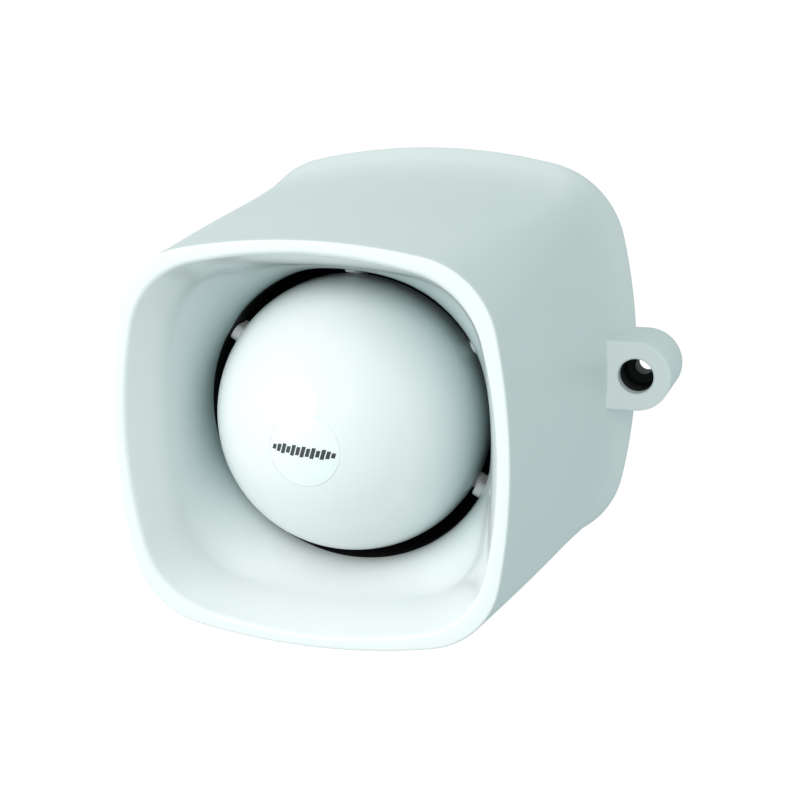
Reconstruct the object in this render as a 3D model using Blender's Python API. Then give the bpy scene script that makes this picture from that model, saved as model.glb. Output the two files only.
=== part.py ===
"""Wall-mounted alarm siren: a folded horn in a square white housing, with its driver and circuit.

The origin is the middle of the back face, where the siren meets the wall. The horn opens
towards -Y, +Z is up, and the sound axis is the Y axis. Every size below is in millimetres,
and make_object turns millimetres into metres.
"""
import bmesh
import bpy
from math import atan2, cos, pi, radians, sin, sqrt
from mathutils import Matrix, Vector

MM = 0.001
GAP = 0.3                      # clearance between pieces that touch

# Housing: outer shell, lip, flare and the bowl that turns the sound round
DEPTH = 100.0                  # wall to lip
MOUTH_HALF = 48.0
WALL = 2.6
LIP = 2.8
# (share of the depth from the lip, half width, corner radius) of the outer skin
BODY = (
    (0.00, 48.0, 20.7), (0.30, 49.4, 15.8), (0.60, 50.6, 10.6), (0.80, 51.8, 9.6),
    (0.90, 53.3, 14.4), (0.96, 55.0, 20.2), (1.00, 56.3, 25.4),
)
SIDE_BOW = 152.0               # radius of the slightly bowed sides
MOUTH_BOW = 113.0              # radius of the sides of the mouth's inner edge
FLARE_END_HALF = 38.0
FLARE_END_CORNER = 17.0
FLARE_CORNER = 20.6
FLARE_POWER = 2.3              # how soon the flare's sides steepen behind the lip
FLARE_ROUND_FROM = 0.42        # share of the flare's depth where it starts to turn round
FLARE_SHARES = (1.0, 0.92, 0.84, 0.76, 0.66, 0.55, 0.42, 0.28, 0.14, 0.0)
FLARE_BACK_SHARES = (0.31, 0.45, 0.6, 0.72, 0.84, 0.92)
FLARE_BACK_STEP = 1.6          # the flare's back lies this much deeper than its front
THROAT_RADIUS = 36.8
THROAT_Y = -69.0
BOWL_FLOOR_Y = -52.0
BOWL_WALL = 2.4
SEAT_Y = -47.0                 # back of the bowl floor, where the driver sits
SEAT_RADIUS = 33.0
THROAT_HOLE = 9.0
OUTLINE_STEPS = 48
TURNED_STEPS = 24
DOME_STEPS = 36

# Mounting ears
EAR_X = 59.3
EAR_RADIUS = 9.2
EAR_THICK = 18.1
EAR_BORE = 4.66
EAR_BORE_FLOOR_Y = -6.0
EAR_HOLE = 2.4

# Back cover, its seal, screws and cable inlet
RECESS_HALF = 53.0
RECESS_CORNER = 23.0
COVER_THICK = 3.0
LEDGE_Y = -4.5
LEDGE_HALF = 51.6
LEDGE_CORNER = 21.6
BOSS_AT = 39.5
BOSS_RADIUS = 4.2
BOSS_LENGTH = 21.0
COVER_SCREW = 1.5
COVER_SCREW_LENGTH = 14.0
COVER_SCREW_HEAD = 3.1
INLET_Z = -43.5
INLET_HOLE = 5.0
INLET_BORE = 3.0

# Reflector dome, its support and the badge
DOME_RADIUS = 33.8
DOME_RIM_Y = -63.8
DOME_CURVE_Y = -66.6           # the skirt ends and the curve starts here
DOME_POLE_Y = -101.3
DOME_WALL = 2.0
DOME_POWER = 1.84              # exponent of the dome's profile along the axis
BADGE_RADIUS = 8.5
BADGE_THICK = 0.7
LUG_ANGLES = (30, 90, 150, 210, 330)
LUG_WIDTH = 4.0
LUG_FRONT_Y = -67.0
ARM_FRONT_Y = -63.3
LUG_BACK_Y = -60.2
LUG_HEAD_INNER = 34.4          # the raised end starts just outside the dome
LUG_OUTER = THROAT_RADIUS - 0.55
RING_INNER = 28.6
RING_OUTER = 32.6
RING_FRONT_Y = -63.3
RING_LIP_Y = -69.0             # front of the lip that centres the dome
RING_BACK_Y = -60.5

# Tone tube
TUBE_FRONT_Y = -86.0
TUBE_MOUTH = 12.5
TUBE_BORE = 8.0
TUBE_WALL = 1.8

# Driver, front to back
GASKET_FRONT_Y = SEAT_Y + GAP
GASKET_THICK = 0.8
PLATE_FRONT_Y = GASKET_FRONT_Y + GASKET_THICK + GAP
PLATE_THICK = 3.0
PLATE_RADIUS = 31.5
PLATE_BACK_Y = PLATE_FRONT_Y + PLATE_THICK
CLAMP_HEIGHT = 2.3
DRIVER_SCREW_AT = 27.5
DRIVER_SCREW = 1.4
SURROUND_THICK = 0.5
SURROUND_Y = PLATE_BACK_Y + CLAMP_HEIGHT + GAP
SPACER_Y = SURROUND_Y + SURROUND_THICK + GAP
SPACER_THICK = 4.0
TOP_PLATE_Y = SPACER_Y + SPACER_THICK + GAP
TOP_PLATE_THICK = 4.0
TOP_PLATE_RADIUS = 22.0
TOP_PLATE_HOLE = 13.5
MAGNET_Y = TOP_PLATE_Y + TOP_PLATE_THICK + GAP
MAGNET_THICK = 10.0
MAGNET_RADIUS = 24.0
MAGNET_HOLE = 15.5
YOKE_Y = MAGNET_Y + MAGNET_THICK + GAP
YOKE_THICK = 4.0
POLE_RADIUS = 11.5
POLE_FRONT_Y = TOP_PLATE_Y - 1.2
COIL_INNER = 12.2
COIL_OUTER = 12.8
COIL_BACK_Y = TOP_PLATE_Y + TOP_PLATE_THICK - 0.8

# Circuit board and what stands on it
BOARD_BACK_Y = -8.4
BOARD_THICK = 1.6
BOARD_FRONT_Y = BOARD_BACK_Y - BOARD_THICK
BOARD_HALF = 37.0
BOARD_SCREW_AT = 32.0
PART_Y = BOARD_FRONT_Y - GAP   # back face of the parts on the board
POST_RADIUS = 3.2


def clear_scene():
    """Removes every object, so that the script gives the same result on each run."""
    for item in list(bpy.data.objects):
        bpy.data.objects.remove(item, do_unlink=True)


def make_material(name, colour, roughness, metallic=0.0):
    """A plain Principled material with the piece's colour and finish."""
    material = bpy.data.materials.new(name)
    material.use_nodes = True
    shader = material.node_tree.nodes["Principled BSDF"]
    shader.inputs["Base Color"].default_value = (*colour, 1.0)
    shader.inputs["Roughness"].default_value = roughness
    shader.inputs["Metallic"].default_value = metallic
    return material


def make_object(name, mesh_builder, material, smooth_angle=30.0):
    """Links a new object whose mesh comes from a bmesh in millimetres."""
    bmesh.ops.scale(mesh_builder, vec=(MM, MM, MM), verts=mesh_builder.verts)
    bmesh.ops.recalc_face_normals(mesh_builder, faces=mesh_builder.faces)
    mesh = bpy.data.meshes.new(name)
    mesh_builder.to_mesh(mesh)
    mesh_builder.free()
    mesh.shade_smooth()
    mesh.set_sharp_from_angle(angle=radians(smooth_angle))
    mesh.materials.append(material)
    item = bpy.data.objects.new(name, mesh)
    bpy.context.scene.collection.objects.link(item)
    return item


def combine(target, tool, operation):
    """Cuts the tool from the target, or welds it on; the tool itself isn't a piece."""
    tool.hide_render = True
    tool.display_type = "WIRE"
    modifier = target.modifiers.new(tool.name, "BOOLEAN")
    modifier.operation = operation
    modifier.solver = "EXACT"
    modifier.object = tool


def cut(target, *tools):
    for tool in tools:
        combine(target, tool, "DIFFERENCE")


def weld(target, *tools):
    for tool in tools:
        combine(target, tool, "UNION")


# ---- outlines and solids -------------------------------------------------------------------

def square_radius(angle, half, bow, corner):
    """Distance from the axis to a square outline with bowed sides and round corners.

    Each side is an arc of radius bow, and each corner an arc of radius corner that runs
    on from both sides without a kink.
    """
    side_centre = half - bow
    reach = bow - corner
    corner_centre = (side_centre + sqrt(2 * reach ** 2 - side_centre ** 2)) / 2
    side_end = atan2(corner_centre, corner_centre - side_centre)
    join = atan2(bow * sin(side_end), side_centre + bow * cos(side_end))
    turn = abs((angle + pi / 4) % (pi / 2) - pi / 4)
    if turn <= join:
        return side_centre * cos(turn) + sqrt(bow ** 2 - (side_centre * sin(turn)) ** 2)
    along = corner_centre * (cos(turn) + sin(turn))
    return along + sqrt(along ** 2 - 2 * corner_centre ** 2 + corner ** 2)


def square_ring(y, half, corner, bow=SIDE_BOW, steps=OUTLINE_STEPS, roundness=0.0):
    """Points of the bowed square at depth y; roundness 1 turns it into the throat's circle."""
    points = []
    for step in range(steps):
        angle = 2 * pi * step / steps
        radius = square_radius(angle, half, bow, corner)
        radius += (THROAT_RADIUS - radius) * roundness
        points.append(Vector((radius * cos(angle), y, radius * sin(angle))))
    return points


def round_ring(y, radius, steps=OUTLINE_STEPS, centre=(0.0, 0.0)):
    """Points of a circle at depth y."""
    points = []
    for step in range(steps):
        angle = 2 * pi * step / steps
        points.append(Vector((centre[0] + radius * cos(angle), y, centre[1] + radius * sin(angle))))
    return points


def skin(rings, closed):
    """Joins rings of equal length with quads; an open skin gets a cap on each end."""
    builder = bmesh.new()
    rows = [[builder.verts.new(point) for point in ring] for ring in rings]
    count = len(rows[0])
    last = len(rows) if closed else len(rows) - 1
    for index in range(last):
        row, after = rows[index], rows[(index + 1) % len(rows)]
        for step in range(count):
            following = (step + 1) % count
            builder.faces.new((row[step], row[following], after[following], after[step]))
    if not closed:
        builder.faces.new(rows[0])
        builder.faces.new(list(reversed(rows[-1])))
    return builder


def turned(name, profile, material, steps=TURNED_STEPS, centre=(0.0, 0.0)):
    """A turned piece from (radius, y) points; a profile that leaves the axis free is a ring."""
    on_axis = profile[0][0] == 0.0
    inner = profile[1:-1] if on_axis else profile
    builder = skin([round_ring(y, radius, steps, centre) for radius, y in inner], not on_axis)
    if on_axis:
        builder.faces.ensure_lookup_table()
        for cap, (_, y) in ((builder.faces[-2], profile[0]), (builder.faces[-1], profile[-1])):
            bmesh.ops.poke(builder, faces=[cap], offset=0.0)
            tip = builder.verts[:][-1]
            tip.co = Vector((centre[0], y, centre[1]))
            builder.faces.ensure_lookup_table()
    return make_object(name, builder, material)


def rod(name, radius, y_front, y_back, material, centre=(0.0, 0.0), steps=TURNED_STEPS):
    """A plain round bar along Y."""
    rings = [round_ring(y, radius, steps, centre) for y in (y_front, y_back)]
    return make_object(name, skin(rings, False), material)


def block(name, low, high, material, bevel=0.0):
    """A box between two corners, with its edges bevelled when a width is given."""
    builder = bmesh.new()
    size = [b - a for a, b in zip(low, high)]
    middle = [(a + b) / 2 for a, b in zip(low, high)]
    bmesh.ops.create_cube(builder, size=1.0)
    bmesh.ops.scale(builder, vec=size, verts=builder.verts)
    bmesh.ops.translate(builder, vec=middle, verts=builder.verts)
    if bevel:
        bmesh.ops.bevel(
            builder, geom=builder.edges[:], offset=bevel, segments=1, affect="EDGES")
    return make_object(name, builder, material)


def corners(distance):
    """The four (x, z) places at equal distance from both middle planes."""
    return [(distance * a, distance * b) for a, b in ((1, 1), (-1, 1), (-1, -1), (1, -1))]


# ---- housing -------------------------------------------------------------------------------

def body_at(share):
    """Half width and corner radius of the outer skin at a share of the depth from the lip."""
    for (s0, h0, c0), (s1, h1, c1) in zip(BODY, BODY[1:]):
        if share <= s1:
            blend = (share - s0) / (s1 - s0)
            return h0 + (h1 - h0) * blend, c0 + (c1 - c0) * blend
    return BODY[-1][1:]


def flare_ring(share, thicker=0.0, deeper=0.0):
    """Ring of the flare: share 0 is the mouth's inner edge and 1 is the round throat."""
    left = 1.0 - share
    half = FLARE_END_HALF + (MOUTH_HALF - LIP - FLARE_END_HALF) * left ** FLARE_POWER
    corner = FLARE_END_CORNER + (FLARE_CORNER - FLARE_END_CORNER) * left ** 1.2
    bow = MOUTH_BOW + (SIDE_BOW - MOUTH_BOW) * share
    turn = max(share - FLARE_ROUND_FROM, 0.0) / (1.0 - FLARE_ROUND_FROM)
    roundness = turn * turn * (3 - 2 * turn)
    y = -DEPTH + (THROAT_Y + DEPTH) * share + deeper
    ring = square_ring(y, half, corner, bow, roundness=roundness)
    for point in ring:
        scale = 1 + thicker / sqrt(point.x ** 2 + point.z ** 2)
        point.x *= scale
        point.z *= scale
    return ring


def housing_rings():
    """The housing's section, taken once round: skin, base, cavity, bowl, throat, flare, lip."""
    outer = [square_ring(-DEPTH * (1 - share), half, corner) for share, half, corner in BODY]
    base = [
        square_ring(0.0, RECESS_HALF, RECESS_CORNER),
        square_ring(LEDGE_Y, RECESS_HALF, RECESS_CORNER),
        square_ring(LEDGE_Y, LEDGE_HALF, LEDGE_CORNER),
    ]
    inner = []
    for share in (0.91, 0.8, 0.6, 0.3, 0.1):
        half, corner = body_at(share)
        inner.append(square_ring(-DEPTH * (1 - share), half - WALL, corner - WALL))
    apex = [square_ring(-93.0, 45.2, 17.5)]
    flare_back = [flare_ring(share, BOWL_WALL, FLARE_BACK_STEP) for share in FLARE_BACK_SHARES]
    bowl_back = [
        round_ring(THROAT_Y + 3.2, THROAT_RADIUS + BOWL_WALL),
        round_ring(-58.0, THROAT_RADIUS + BOWL_WALL),
        round_ring(-52.6, 37.2),
        round_ring(-49.6, SEAT_RADIUS + 1.0),
        round_ring(SEAT_Y, SEAT_RADIUS),
    ]
    throat = [
        round_ring(SEAT_Y, THROAT_HOLE),
        round_ring(BOWL_FLOOR_Y, THROAT_HOLE),
        round_ring(BOWL_FLOOR_Y, 29.0),
        round_ring(-53.6, 33.6),
        round_ring(-57.4, 36.2),
        round_ring(-60.0, THROAT_RADIUS),
    ]
    flare = [flare_ring(share) for share in FLARE_SHARES]
    return outer + base + inner + apex + flare_back + bowl_back + throat + flare


def ear_tool(side, material):
    """The D-shaped lug on one side, starting inside the wall and ending in a half round."""
    rings = []
    for y, start in ((-EAR_THICK, 51.0), (0.0, 54.3)):
        ring = [Vector((side * start, y, -EAR_RADIUS)), Vector((side * start, y, EAR_RADIUS))]
        for step in range(17):
            angle = pi / 2 - pi * step / 16
            x = EAR_X + EAR_RADIUS * cos(angle)
            ring.append(Vector((side * x, y, EAR_RADIUS * sin(angle))))
        rings.append(ring)
    name = "ear_shape_right" if side > 0 else "ear_shape_left"
    return make_object(name, skin(rings, False), material)


def make_housing(material):
    housing = make_object("horn_housing", skin(housing_rings(), True), material, 24.0)
    for side in (1, -1):
        weld(housing, ear_tool(side, material))
    for index, centre in enumerate(corners(BOSS_AT)):
        boss = rod(
            "boss_shape_%d" % index, BOSS_RADIUS, LEDGE_Y - BOSS_LENGTH, -COVER_THICK - GAP,
            material, centre, 20)
        weld(housing, boss)
    for index, centre in enumerate(corners(BOSS_AT)):
        pilot = rod(
            "boss_pilot_%d" % index, COVER_SCREW + GAP, -COVER_SCREW_LENGTH - 2, 1.0,
            material, centre, 12)
        cut(housing, pilot)
    for side in (1, -1):
        centre = (side * EAR_X, 0.0)
        counterbore = rod(
            "ear_counterbore_%d" % side, EAR_BORE, -EAR_THICK - 1, EAR_BORE_FLOOR_Y,
            material, centre, 28)
        hole = rod(
            "ear_hole_%d" % side, EAR_HOLE, EAR_BORE_FLOOR_Y - 1, 1.0, material, centre, 28)
        cut(housing, counterbore, hole)
    for index in range(4):
        angle = pi / 4 + index * pi / 2
        centre = (DRIVER_SCREW_AT * cos(angle), DRIVER_SCREW_AT * sin(angle))
        pilot = rod(
            "seat_pilot_%d" % index, DRIVER_SCREW + GAP, BOWL_FLOOR_Y + 1, SEAT_Y + 1,
            material, centre, 12)
        cut(housing, pilot)
    return housing


# ---- back cover ----------------------------------------------------------------------------

def make_rear_cover(material):
    half, corner = RECESS_HALF - GAP, RECESS_CORNER - GAP
    plate = [square_ring(y, half, corner) for y in (-COVER_THICK, 0.0)]
    cover = make_object("rear_cover", skin(plate, False), material)
    for index, centre in enumerate(corners(BOARD_SCREW_AT)):
        post = rod(
            "post_shape_%d" % index, POST_RADIUS, BOARD_BACK_Y + GAP, -COVER_THICK + 1,
            material, centre, 16)
        weld(cover, post)
    for index, centre in enumerate(corners(BOARD_SCREW_AT)):
        cut(cover, rod(
            "post_pilot_%d" % index, 1.5, BOARD_BACK_Y - 1, -4.0, material, centre, 12))
    for index, centre in enumerate(corners(BOSS_AT)):
        sink = turned(
            "screw_sink_%d" % index,
            [(0.0, 1.0), (4.7, 1.0), (2.1, -2.3), (2.1, -4.0), (0.0, -4.0)],
            material, 20, centre)
        cut(cover, sink)
    cut(cover, rod("inlet_hole", INLET_HOLE, -4.0, 1.0, material, (0.0, INLET_Z), 24))
    return cover


def make_rear_seal(material):
    front, back = LEDGE_Y + GAP, -COVER_THICK - GAP
    outer_half, inner_half = RECESS_HALF - GAP, LEDGE_HALF + GAP
    outer_corner, inner_corner = RECESS_CORNER - GAP, LEDGE_CORNER + GAP
    rings = [
        square_ring(front, outer_half, outer_corner), square_ring(back, outer_half, outer_corner),
        square_ring(back, inner_half, inner_corner), square_ring(front, inner_half, inner_corner),
    ]
    return make_object("rear_seal", skin(rings, True), material)


def make_grommet(material):
    return turned("cable_grommet", [
        (INLET_HOLE - GAP, -0.2), (INLET_HOLE - GAP, -COVER_THICK - GAP),
        (INLET_HOLE + 1.7, -COVER_THICK - GAP), (INLET_HOLE + 1.4, -5.6),
        (INLET_BORE, -5.6), (INLET_BORE, -0.2),
    ], material, 24, (0.0, INLET_Z))


def make_cover_screws(material):
    for index, centre in enumerate(corners(BOSS_AT)):
        turned("rear_screw_%d" % (index + 1), [
            (0.0, -0.2), (COVER_SCREW_HEAD, -0.2), (COVER_SCREW_HEAD, -0.6), (COVER_SCREW, -2.4),
            (COVER_SCREW, -COVER_SCREW_LENGTH + 1.0), (0.6, -COVER_SCREW_LENGTH),
            (0.0, -COVER_SCREW_LENGTH),
        ], material, 12, centre)


# ---- dome ----------------------------------------------------------------------------------

def dome_y(radius, rim_radius, pole_y):
    """Depth of the dome's surface at a distance from the axis."""
    share = min(radius / rim_radius, 1.0)
    return DOME_CURVE_Y + (pole_y - DOME_CURVE_Y) * (1 - share ** 2) ** (1 / DOME_POWER)


def dome_arc(rim_radius, pole_y, inner_radius, count):
    """(radius, y) points from the rim up the skirt towards the pole, down to inner_radius."""
    start = atan2(sqrt(1 - (inner_radius / rim_radius) ** 2), inner_radius / rim_radius)
    radii = [rim_radius * cos(start * step / count) for step in range(count + 1)]
    curve = [(radius, dome_y(radius, rim_radius, pole_y)) for radius in radii]
    return [(rim_radius, DOME_RIM_Y)] + curve


def make_dome(material):
    """The reflector: a shell open to the back, with a shallow round seat for the badge."""
    seat = BADGE_RADIUS + GAP
    outside = dome_arc(DOME_RADIUS, DOME_POLE_Y, seat, 9)
    floor = [(seat, outside[-1][1] + BADGE_THICK + GAP), (0.0, DOME_POLE_Y + BADGE_THICK + GAP)]
    inside = dome_arc(DOME_RADIUS - DOME_WALL, DOME_POLE_Y + DOME_WALL, 6.0, 6)
    inside = [(0.0, DOME_POLE_Y + DOME_WALL)] + list(reversed(inside))
    section = list(reversed(outside + floor[:1])) + list(reversed(inside[1:]))
    builder = skin([round_ring(y, radius, DOME_STEPS) for radius, y in section], False)
    builder.faces.ensure_lookup_table()
    for cap, y in ((builder.faces[-2], floor[1][1]), (builder.faces[-1], inside[0][1])):
        bmesh.ops.poke(builder, faces=[cap])
        builder.verts[:][-1].co = Vector((0.0, y, 0.0))
        builder.faces.ensure_lookup_table()
    return make_object("reflector_dome", builder, material)


def make_badge(material):
    """A thin disc that fills the seat and carries on the dome's curve."""
    radii = [BADGE_RADIUS * share for share in (0.35, 0.7, 1.0)]
    front = [(radius, dome_y(radius, DOME_RADIUS, DOME_POLE_Y)) for radius in radii]
    edge = front[-1][1] + BADGE_THICK
    back = [(BADGE_RADIUS, edge), (BADGE_RADIUS * 0.5, edge - 0.5), (0.0, DOME_POLE_Y + BADGE_THICK)]
    return turned("badge_disc", [(0.0, DOME_POLE_Y)] + front + back, material, 32)


def lug_outline(radius, front):
    """Section across a lug: a bar with a half-round front edge."""
    half = LUG_WIDTH / 2
    points = [Vector((radius, LUG_BACK_Y, -half)), Vector((radius, LUG_BACK_Y, half))]
    for step in range(9):
        angle = pi * step / 8
        points.append(Vector((radius, front + half - half * sin(angle), half * cos(angle))))
    return points


def make_dome_support(material):
    """A ring inside the dome's rim with five lugs that reach out to the throat wall."""
    ring = turned("dome_support", [
        (RING_INNER, RING_BACK_Y), (RING_OUTER, RING_BACK_Y), (RING_OUTER, RING_FRONT_Y),
        (DOME_RADIUS - DOME_WALL - GAP - 0.1, RING_FRONT_Y),
        (DOME_RADIUS - DOME_WALL - 1.0, RING_LIP_Y), (RING_INNER + 0.4, RING_LIP_Y),
        (RING_INNER, RING_FRONT_Y),
    ], material, DOME_STEPS)
    for angle in LUG_ANGLES:
        turn = Matrix.Rotation(-radians(angle), 4, "Y")
        sections = (
            (RING_INNER + 1.0, ARM_FRONT_Y), (LUG_HEAD_INNER, ARM_FRONT_Y),
            (LUG_HEAD_INNER + 0.3, LUG_FRONT_Y), (LUG_OUTER, LUG_FRONT_Y),
        )
        shape = skin([lug_outline(radius, front) for radius, front in sections], False)
        bmesh.ops.transform(shape, matrix=turn, verts=shape.verts)
        weld(ring, make_object("lug_shape_%d" % angle, shape, material))
    return ring


# ---- tone tube and driver ------------------------------------------------------------------

def make_tone_tube(material):
    """The tube that leads the sound forward from the driver into the dome."""
    return turned("tone_tube", [
        (TUBE_BORE, SEAT_Y - GAP), (TUBE_BORE, BOWL_FLOOR_Y), (TUBE_BORE + 0.6, -62.0),
        (TUBE_BORE + 2.0, -74.0), (TUBE_MOUTH, TUBE_FRONT_Y), (TUBE_MOUTH + TUBE_WALL, TUBE_FRONT_Y),
        (TUBE_BORE + 2.0 + TUBE_WALL, -74.0), (TUBE_BORE + 0.6 + TUBE_WALL, -62.0),
        (TUBE_BORE + 2.2, BOWL_FLOOR_Y - 3.0), (14.0, BOWL_FLOOR_Y - 1.8),
        (14.0, BOWL_FLOOR_Y - GAP), (THROAT_HOLE - GAP, BOWL_FLOOR_Y - GAP),
        (THROAT_HOLE - GAP, SEAT_Y - GAP),
    ], material)


def make_driver(materials):
    plastic, rubber = materials["black_plastic"], materials["rubber"]
    turned("driver_gasket", [
        (11.0, GASKET_FRONT_Y), (24.0, GASKET_FRONT_Y),
        (24.0, GASKET_FRONT_Y + GASKET_THICK), (11.0, GASKET_FRONT_Y + GASKET_THICK),
    ], rubber)
    plate = turned("driver_front_plate", [
        (8.0, PLATE_FRONT_Y), (PLATE_RADIUS, PLATE_FRONT_Y), (PLATE_RADIUS, PLATE_BACK_Y),
        (21.5, PLATE_BACK_Y), (21.5, PLATE_BACK_Y + CLAMP_HEIGHT),
        (16.5, PLATE_BACK_Y + CLAMP_HEIGHT), (16.5, PLATE_BACK_Y), (8.0, PLATE_BACK_Y),
    ], plastic, 40)
    for index in range(4):
        angle = pi / 4 + index * pi / 2
        centre = (DRIVER_SCREW_AT * cos(angle), DRIVER_SCREW_AT * sin(angle))
        cut(plate, rod(
            "plate_hole_%d" % index, DRIVER_SCREW + GAP, PLATE_FRONT_Y - 1, PLATE_BACK_Y + 1,
            plastic, centre, 12))
        head_back = PLATE_BACK_Y + GAP + 2.0
        turned("driver_screw_%d" % (index + 1), [
            (0.0, head_back), (2.0, head_back), (2.8, head_back - 0.7), (2.8, PLATE_BACK_Y + GAP),
            (DRIVER_SCREW, PLATE_BACK_Y + GAP), (DRIVER_SCREW, BOWL_FLOOR_Y + 2.4),
            (0.5, BOWL_FLOOR_Y + 1.6), (0.0, BOWL_FLOOR_Y + 1.6),
        ], materials["steel"], 12, centre)

    turned("diaphragm_surround", [
        (COIL_OUTER + 0.5, SURROUND_Y), (14.6, SURROUND_Y - 0.9), (16.0, SURROUND_Y),
        (21.2, SURROUND_Y), (21.2, SURROUND_Y + SURROUND_THICK), (16.0, SURROUND_Y + SURROUND_THICK),
        (14.6, SURROUND_Y - 0.9 + SURROUND_THICK), (COIL_OUTER + 0.5, SURROUND_Y + SURROUND_THICK),
    ], rubber)
    turned("spacer_ring", [
        (16.5, SPACER_Y), (21.8, SPACER_Y), (21.8, SPACER_Y + SPACER_THICK),
        (16.5, SPACER_Y + SPACER_THICK),
    ], plastic)
    turned("top_plate", [
        (TOP_PLATE_HOLE, TOP_PLATE_Y), (TOP_PLATE_RADIUS, TOP_PLATE_Y),
        (TOP_PLATE_RADIUS, TOP_PLATE_Y + TOP_PLATE_THICK),
        (TOP_PLATE_HOLE, TOP_PLATE_Y + TOP_PLATE_THICK),
    ], materials["steel"])
    turned("ring_magnet", [
        (MAGNET_HOLE, MAGNET_Y), (MAGNET_RADIUS - 0.6, MAGNET_Y), (MAGNET_RADIUS, MAGNET_Y + 0.6),
        (MAGNET_RADIUS, MAGNET_Y + MAGNET_THICK - 0.6), (MAGNET_RADIUS - 0.6, MAGNET_Y + MAGNET_THICK),
        (MAGNET_HOLE, MAGNET_Y + MAGNET_THICK),
    ], materials["ferrite"])
    turned("magnet_yoke", [
        (0.0, POLE_FRONT_Y), (POLE_RADIUS - 0.5, POLE_FRONT_Y), (POLE_RADIUS, POLE_FRONT_Y + 0.5),
        (POLE_RADIUS, YOKE_Y), (TOP_PLATE_RADIUS, YOKE_Y),
        (TOP_PLATE_RADIUS, YOKE_Y + YOKE_THICK - 0.6), (TOP_PLATE_RADIUS - 0.6, YOKE_Y + YOKE_THICK),
        (0.0, YOKE_Y + YOKE_THICK),
    ], materials["steel"])


def make_phase_plug(material):
    """A bullet in the driver's throat, held by three thin webs in a ring."""
    front, back = PLATE_FRONT_Y, PLATE_BACK_Y
    ring = turned("phase_plug", [
        (6.8, front), (7.7, front), (7.7, back), (6.8, back),
    ], material)
    bullet = turned("bullet_shape", [
        (0.0, front - 6.0), (1.2, front - 5.2), (3.4, front), (4.4, back), (0.0, back),
    ], material, 20)
    weld(ring, bullet)
    for index in range(3):
        builder = bmesh.new()
        bmesh.ops.create_cube(builder, size=1.0)
        bmesh.ops.scale(builder, vec=(5.2, 2.0, 1.2), verts=builder.verts)
        bmesh.ops.translate(builder, vec=(4.6, (front + back) / 2, 0.0), verts=builder.verts)
        turn = Matrix.Rotation(radians(90 + 120 * index), 4, "Y")
        bmesh.ops.transform(builder, matrix=turn, verts=builder.verts)
        weld(ring, make_object("web_shape_%d" % index, builder, material))
    return ring


def make_moving_parts(materials):
    """Diaphragm and voice coil, which slide together along the sound axis."""
    rim_y = SURROUND_Y
    turned("diaphragm", [
        (0.0, rim_y - 1.9), (4.0, rim_y - 1.7), (8.0, rim_y - 1.1), (COIL_OUTER, rim_y),
        (COIL_OUTER, rim_y + SURROUND_THICK), (8.0, rim_y - 0.6), (4.0, rim_y - 1.2),
        (0.0, rim_y - 1.4),
    ], materials["diaphragm"])
    turned("voice_coil", [
        (COIL_INNER, rim_y + SURROUND_THICK + GAP), (COIL_OUTER, rim_y + SURROUND_THICK + GAP),
        (COIL_OUTER, COIL_BACK_Y), (COIL_INNER, COIL_BACK_Y),
    ], materials["copper"])


# ---- circuit -------------------------------------------------------------------------------

def make_circuit(materials):
    faces = [square_ring(y, BOARD_HALF, 6.0, 900.0) for y in (BOARD_FRONT_Y, BOARD_BACK_Y)]
    board = make_object("circuit_board", skin(faces, False), materials["board"])
    for index, centre in enumerate(corners(BOARD_SCREW_AT)):
        cut(board, rod(
            "board_hole_%d" % index, 1.6, BOARD_FRONT_Y - 1, BOARD_BACK_Y + 1,
            materials["board"], centre, 12))
        head_front = BOARD_FRONT_Y - GAP - 1.8
        turned("board_screw_%d" % (index + 1), [
            (0.0, head_front), (1.8, head_front), (2.5, head_front + 0.7), (2.5, BOARD_FRONT_Y - GAP),
            (1.2, BOARD_FRONT_Y - GAP), (1.2, -5.0), (0.4, -4.3), (0.0, -4.3),
        ], materials["steel"], 12, centre)
    for index, z in enumerate((20.0, -20.0)):
        turned("capacitor_%d" % (index + 1), [
            (0.0, PART_Y), (4.6, PART_Y), (5.0, PART_Y - 0.5), (4.6, PART_Y - 1.4),
            (5.0, PART_Y - 2.2), (5.0, PART_Y - 12.0), (4.6, PART_Y - 12.5),
            (0.0, PART_Y - 12.5),
        ], materials["capacitor"], 20, (-30.5, z))
    block(
        "heat_sink", (33.4, PART_Y - 15.0, -17.0), (35.0, PART_Y, 17.0), materials["aluminium"])
    for index, z in enumerate((8.5, -8.5)):
        block(
            "transistor_%d" % (index + 1), (29.0, PART_Y - 13.0, z - 5.0),
            (33.1, PART_Y - 3.0, z + 5.0), materials["black_plastic"], 0.3)
    block(
        "siren_chip", (-19.0, PART_Y - 3.6, 27.8), (-9.0, PART_Y, 34.2),
        materials["black_plastic"], 0.3)
    terminal = block(
        "terminal_block", (-7.5, PART_Y - 9.0, -35.0), (7.5, PART_Y, -27.5),
        materials["terminal"], 0.4)
    for index, x in enumerate((-4.0, 4.0)):
        cut(terminal, block(
            "wire_slot_%d" % index, (x - 2.2, PART_Y - 5.6, -36.0), (x + 2.2, PART_Y - 1.4, -31.0),
            materials["terminal"]))
        cut(terminal, rod(
            "screw_well_%d" % index, 1.9, PART_Y - 10.0, PART_Y - 7.0, materials["terminal"],
            (x, -31.2), 12))


def make_terminal_strip(material):
    """The strip on the driver's side where the two coil leads are soldered."""
    block("terminal_strip", (-6.0, SPACER_Y + 0.4, 22.2), (6.0, SPACER_Y + 3.6, 24.0), material, 0.2)


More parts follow.
